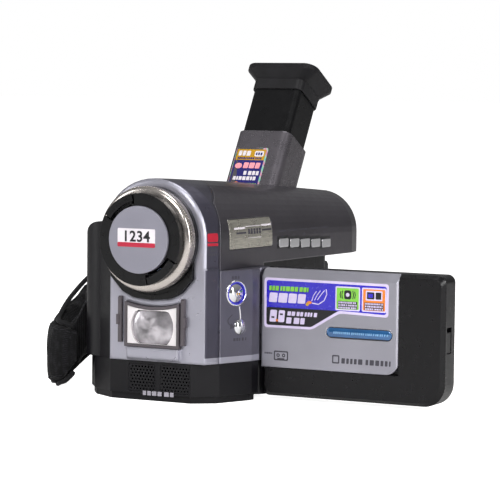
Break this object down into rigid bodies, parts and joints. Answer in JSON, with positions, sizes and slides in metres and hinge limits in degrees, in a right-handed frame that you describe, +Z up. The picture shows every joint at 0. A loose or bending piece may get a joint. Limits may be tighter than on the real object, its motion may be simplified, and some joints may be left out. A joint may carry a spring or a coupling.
{
  "type": "camcorder",
  "caption": "Compact tape camcorder with a fold-out monitor, raised telescopic eyepiece, lens cap, lamp and padded hand strap.",
  "frame": {"origin": "centre of the tripod socket's mouth on the flat base", "axes": "+Z up, -Y is where the lens points, +X is the side the monitor opens on"},
  "size_m": [0.2038, 0.1632, 0.1531],
  "materials": {
    "silver_paint": "metallic silver paint on ABS, satin",
    "gunmetal_paint": "metallic gunmetal paint on ABS, satin",
    "side_paint": "metallic blue-grey paint on ABS, satin",
    "black_plastic": "fine-textured black ABS",
    "satin_black": "smooth black plastic",
    "knurl_silver": "knurled anodised ring",
    "cap_grey": "satin grey paint",
    "glass": "coated optical glass",
    "frosted": "frosted white lamp window",
    "chrome": "bright plated plastic",
    "lamp_trim": "smoked translucent plastic",
    "bulb": "clear halogen bulb",
    "brass": "turned brass insert",
    "champagne": "brushed champagne plate",
    "blue_ring": "tinted blue ring",
    "blue_badge": "tinted blue clear bar",
    "screen": "dark monitor screen",
    "post_grey": "moulded light grey plastic",
    "steel": "stamped bright steel",
    "drum": "polished aluminium",
    "board": "solder-masked circuit board",
    "cassette_grey": "moulded tape shell",
    "battery_black": "textured battery case",
    "rubber": "soft black rubber",
    "sleeve_grey": "metallic grey paint on ABS",
    "strap_fabric": "padded black nylon",
    "webbing": "black woven nylon webbing",
    "screw_steel": "blackened steel"
  },
  "bodies": {
    "camera": {"front_bezel": "silver_paint", "lens_barrel": "satin_black", "lens_collar": "satin_black", "front_lens": "glass", "rear_lens": "glass", "image_sensor": "black_plastic", "light_frame": "lamp_trim", "light_window": "frosted", "light_reflector": "chrome", "light_bulb": "bulb", "mic_grille": "black_plastic", "base_cover": "black_plastic", "tripod_bush": "brass", "top_cover": "gunmetal_paint", "side_cover": "side_paint", "bay_wall": "black_plastic", "display_plate": "champagne", "easy_ring": "blue_ring", "grip_cover": "black_plastic", "tape_deck": "steel", "head_drum": "drum", "main_board": "board", "rear_cover": "black_plastic", "case_screws": "screw_steel"},
    "focus": {"focus_ring": "knurl_silver"},
    "cap": {"cap_ring": "satin_black", "cap_disc": "cap_grey"},
    "upper_tab": {"cap_tab_upper": "satin_black"},
    "lower_tab": {"cap_tab_lower": "satin_black"},
    "hinge": {"hinge_post": "post_grey"},
    "monitor": {"lcd_frame": "black_plastic", "lcd_cover": "silver_paint", "lcd_screen": "screen", "lcd_badge": "blue_badge"},
    "latch": {"lcd_latch": "satin_black"},
    "door": {"cassette_door": "black_plastic", "cassette_holder": "steel", "cassette": "cassette_grey", "strap_pad": "strap_fabric", "strap_webbing": "webbing"},
    "battery_pack": {"battery": "battery_black"},
    "release": {"battery_release": "satin_black"},
    "dial": {"mode_dial": "satin_black"},
    "record": {"record_button": "silver_paint"},
    "zoom": {"zoom_lever": "silver_paint"},
    "photo": {"photo_button": "silver_paint"},
    "eject": {"eject_switch": "satin_black"},
    "flap": {"jack_cover": "rubber"},
    "sleeve": {"vf_sleeve": "sleeve_grey"},
    "tube": {"vf_tube": "satin_black", "eyecup": "rubber", "eyepiece_lens": "glass"},
    "diopter": {"diopter_lever": "satin_black"},
    "easy": {"easy_button": "chrome"},
    "custom": {"custom_button": "chrome"},
    "play_1": {"play_button_1": "chrome"},
    "play_2": {"play_button_2": "chrome"},
    "play_3": {"play_button_3": "chrome"},
    "play_4": {"play_button_4": "chrome"},
    "play_5": {"play_button_5": "chrome"}
  },
  "joints": [
    {"name": "focus_turn", "type": "hinge", "parent": "camera", "child": "focus", "pos_m": [0, -0.054, 0.0733], "axis": [0, -1, 0], "continuous": true},
    {"name": "cap_off", "type": "slide", "parent": "camera", "child": "cap", "axis": [0, -1, 0], "range_m": [0, 0.02]},
    {"name": "upper_tab_pinch", "type": "slide", "parent": "cap", "child": "upper_tab", "axis": [0.5736, 0, -0.8192], "range_m": [0, 0.001], "stiffness_N_per_m": 300},
    {"name": "lower_tab_pinch", "type": "slide", "parent": "cap", "child": "lower_tab", "axis": [-0.6018, 0, 0.7986], "range_m": [0, 0.001], "stiffness_N_per_m": 300},
    {"name": "monitor_swing", "type": "hinge", "parent": "camera", "child": "hinge", "pos_m": [0.031, -0.009, 0.03085], "axis": [0, 0, 1], "range_deg": [0, 90]},
    {"name": "monitor_tilt", "type": "hinge", "parent": "hinge", "child": "monitor", "pos_m": [0.031, -0.009, 0.03085], "axis": [1, 0, 0], "range_deg": [-90, 180]},
    {"name": "monitor_latch", "type": "slide", "parent": "monitor", "child": "latch", "axis": [0, 0, 1], "range_m": [0, 0.0018], "stiffness_N_per_m": 300},
    {"name": "jack_flap", "type": "hinge", "parent": "camera", "child": "flap", "pos_m": [0.0239, 0.032, 0.0495], "axis": [0, 0, -1], "range_deg": [-110, 0]},
    {"name": "eyepiece_tilt", "type": "hinge", "parent": "camera", "child": "sleeve", "pos_m": [0, 0.052, 0.082], "axis": [1, 0, 0], "range_deg": [-60, 0]},
    {"name": "eyepiece_pull", "type": "slide", "parent": "sleeve", "child": "tube", "axis": [0, 0.5, 0.866], "range_m": [-0.023, 0]},
    {"name": "diopter_slide", "type": "slide", "parent": "tube", "child": "diopter", "axis": [1, 0, 0], "range_m": [-0.0025, 0.0025]},
    {"name": "door_swing", "type": "hinge", "parent": "camera", "child": "door", "pos_m": [-0.0425, 0.02, 0.021], "axis": [0, -1, 0], "range_deg": [0, 30]},
    {"name": "battery_off", "type": "slide", "parent": "camera", "child": "battery_pack", "axis": [0, 1, 0], "range_m": [0, 0.03]},
    {"name": "battery_release_slide", "type": "slide", "parent": "camera", "child": "release", "axis": [0, 0, 1], "range_m": [0, 0.0035], "stiffness_N_per_m": 300},
    {"name": "mode_turn", "type": "hinge", "parent": "camera", "child": "dial", "pos_m": [-0.033, 0.0863, 0.066], "axis": [0, 1, 0], "range_deg": [-40, 40]},
    {"name": "record_press", "type": "slide", "parent": "camera", "child": "record", "axis": [0, -1, 0], "range_m": [0, 0.0008], "stiffness_N_per_m": 300},
    {"name": "zoom_rock", "type": "hinge", "parent": "camera", "child": "zoom", "pos_m": [-0.037, 0.0205, 0.0795], "axis": [0, 0, 1], "range_deg": [-12, 12], "stiffness_Nm_per_rad": 0.02},
    {"name": "photo_press", "type": "slide", "parent": "camera", "child": "photo", "axis": [0, 0, -1], "range_m": [0, 0.0008], "stiffness_N_per_m": 300},
    {"name": "eject_slide", "type": "slide", "parent": "camera", "child": "eject", "axis": [0, 1, 0], "range_m": [0, 0.0035], "stiffness_N_per_m": 300},
    {"name": "play_press_1", "type": "slide", "parent": "camera", "child": "play_1", "axis": [-1, 0, 0], "range_m": [0, 0.0006], "stiffness_N_per_m": 300},
    {"name": "play_press_2", "type": "slide", "parent": "camera", "child": "play_2", "axis": [-1, 0, 0], "range_m": [0, 0.0006], "stiffness_N_per_m": 300},
    {"name": "play_press_3", "type": "slide", "parent": "camera", "child": "play_3", "axis": [-1, 0, 0], "range_m": [0, 0.0006], "stiffness_N_per_m": 300},
    {"name": "play_press_4", "type": "slide", "parent": "camera", "child": "play_4", "axis": [-1, 0, 0], "range_m": [0, 0.0006], "stiffness_N_per_m": 300},
    {"name": "play_press_5", "type": "slide", "parent": "camera", "child": "play_5", "axis": [-1, 0, 0], "range_m": [0, 0.0006], "stiffness_N_per_m": 300},
    {"name": "easy_press", "type": "slide", "parent": "camera", "child": "easy", "axis": [-0.93, 0.3677, 0], "range_m": [0, 0.0008], "stiffness_N_per_m": 300},
    {"name": "custom_press", "type": "slide", "parent": "camera", "child": "custom", "axis": [-0.93, 0.3677, 0], "range_m": [0, 0.0008], "stiffness_N_per_m": 300}
  ]
}
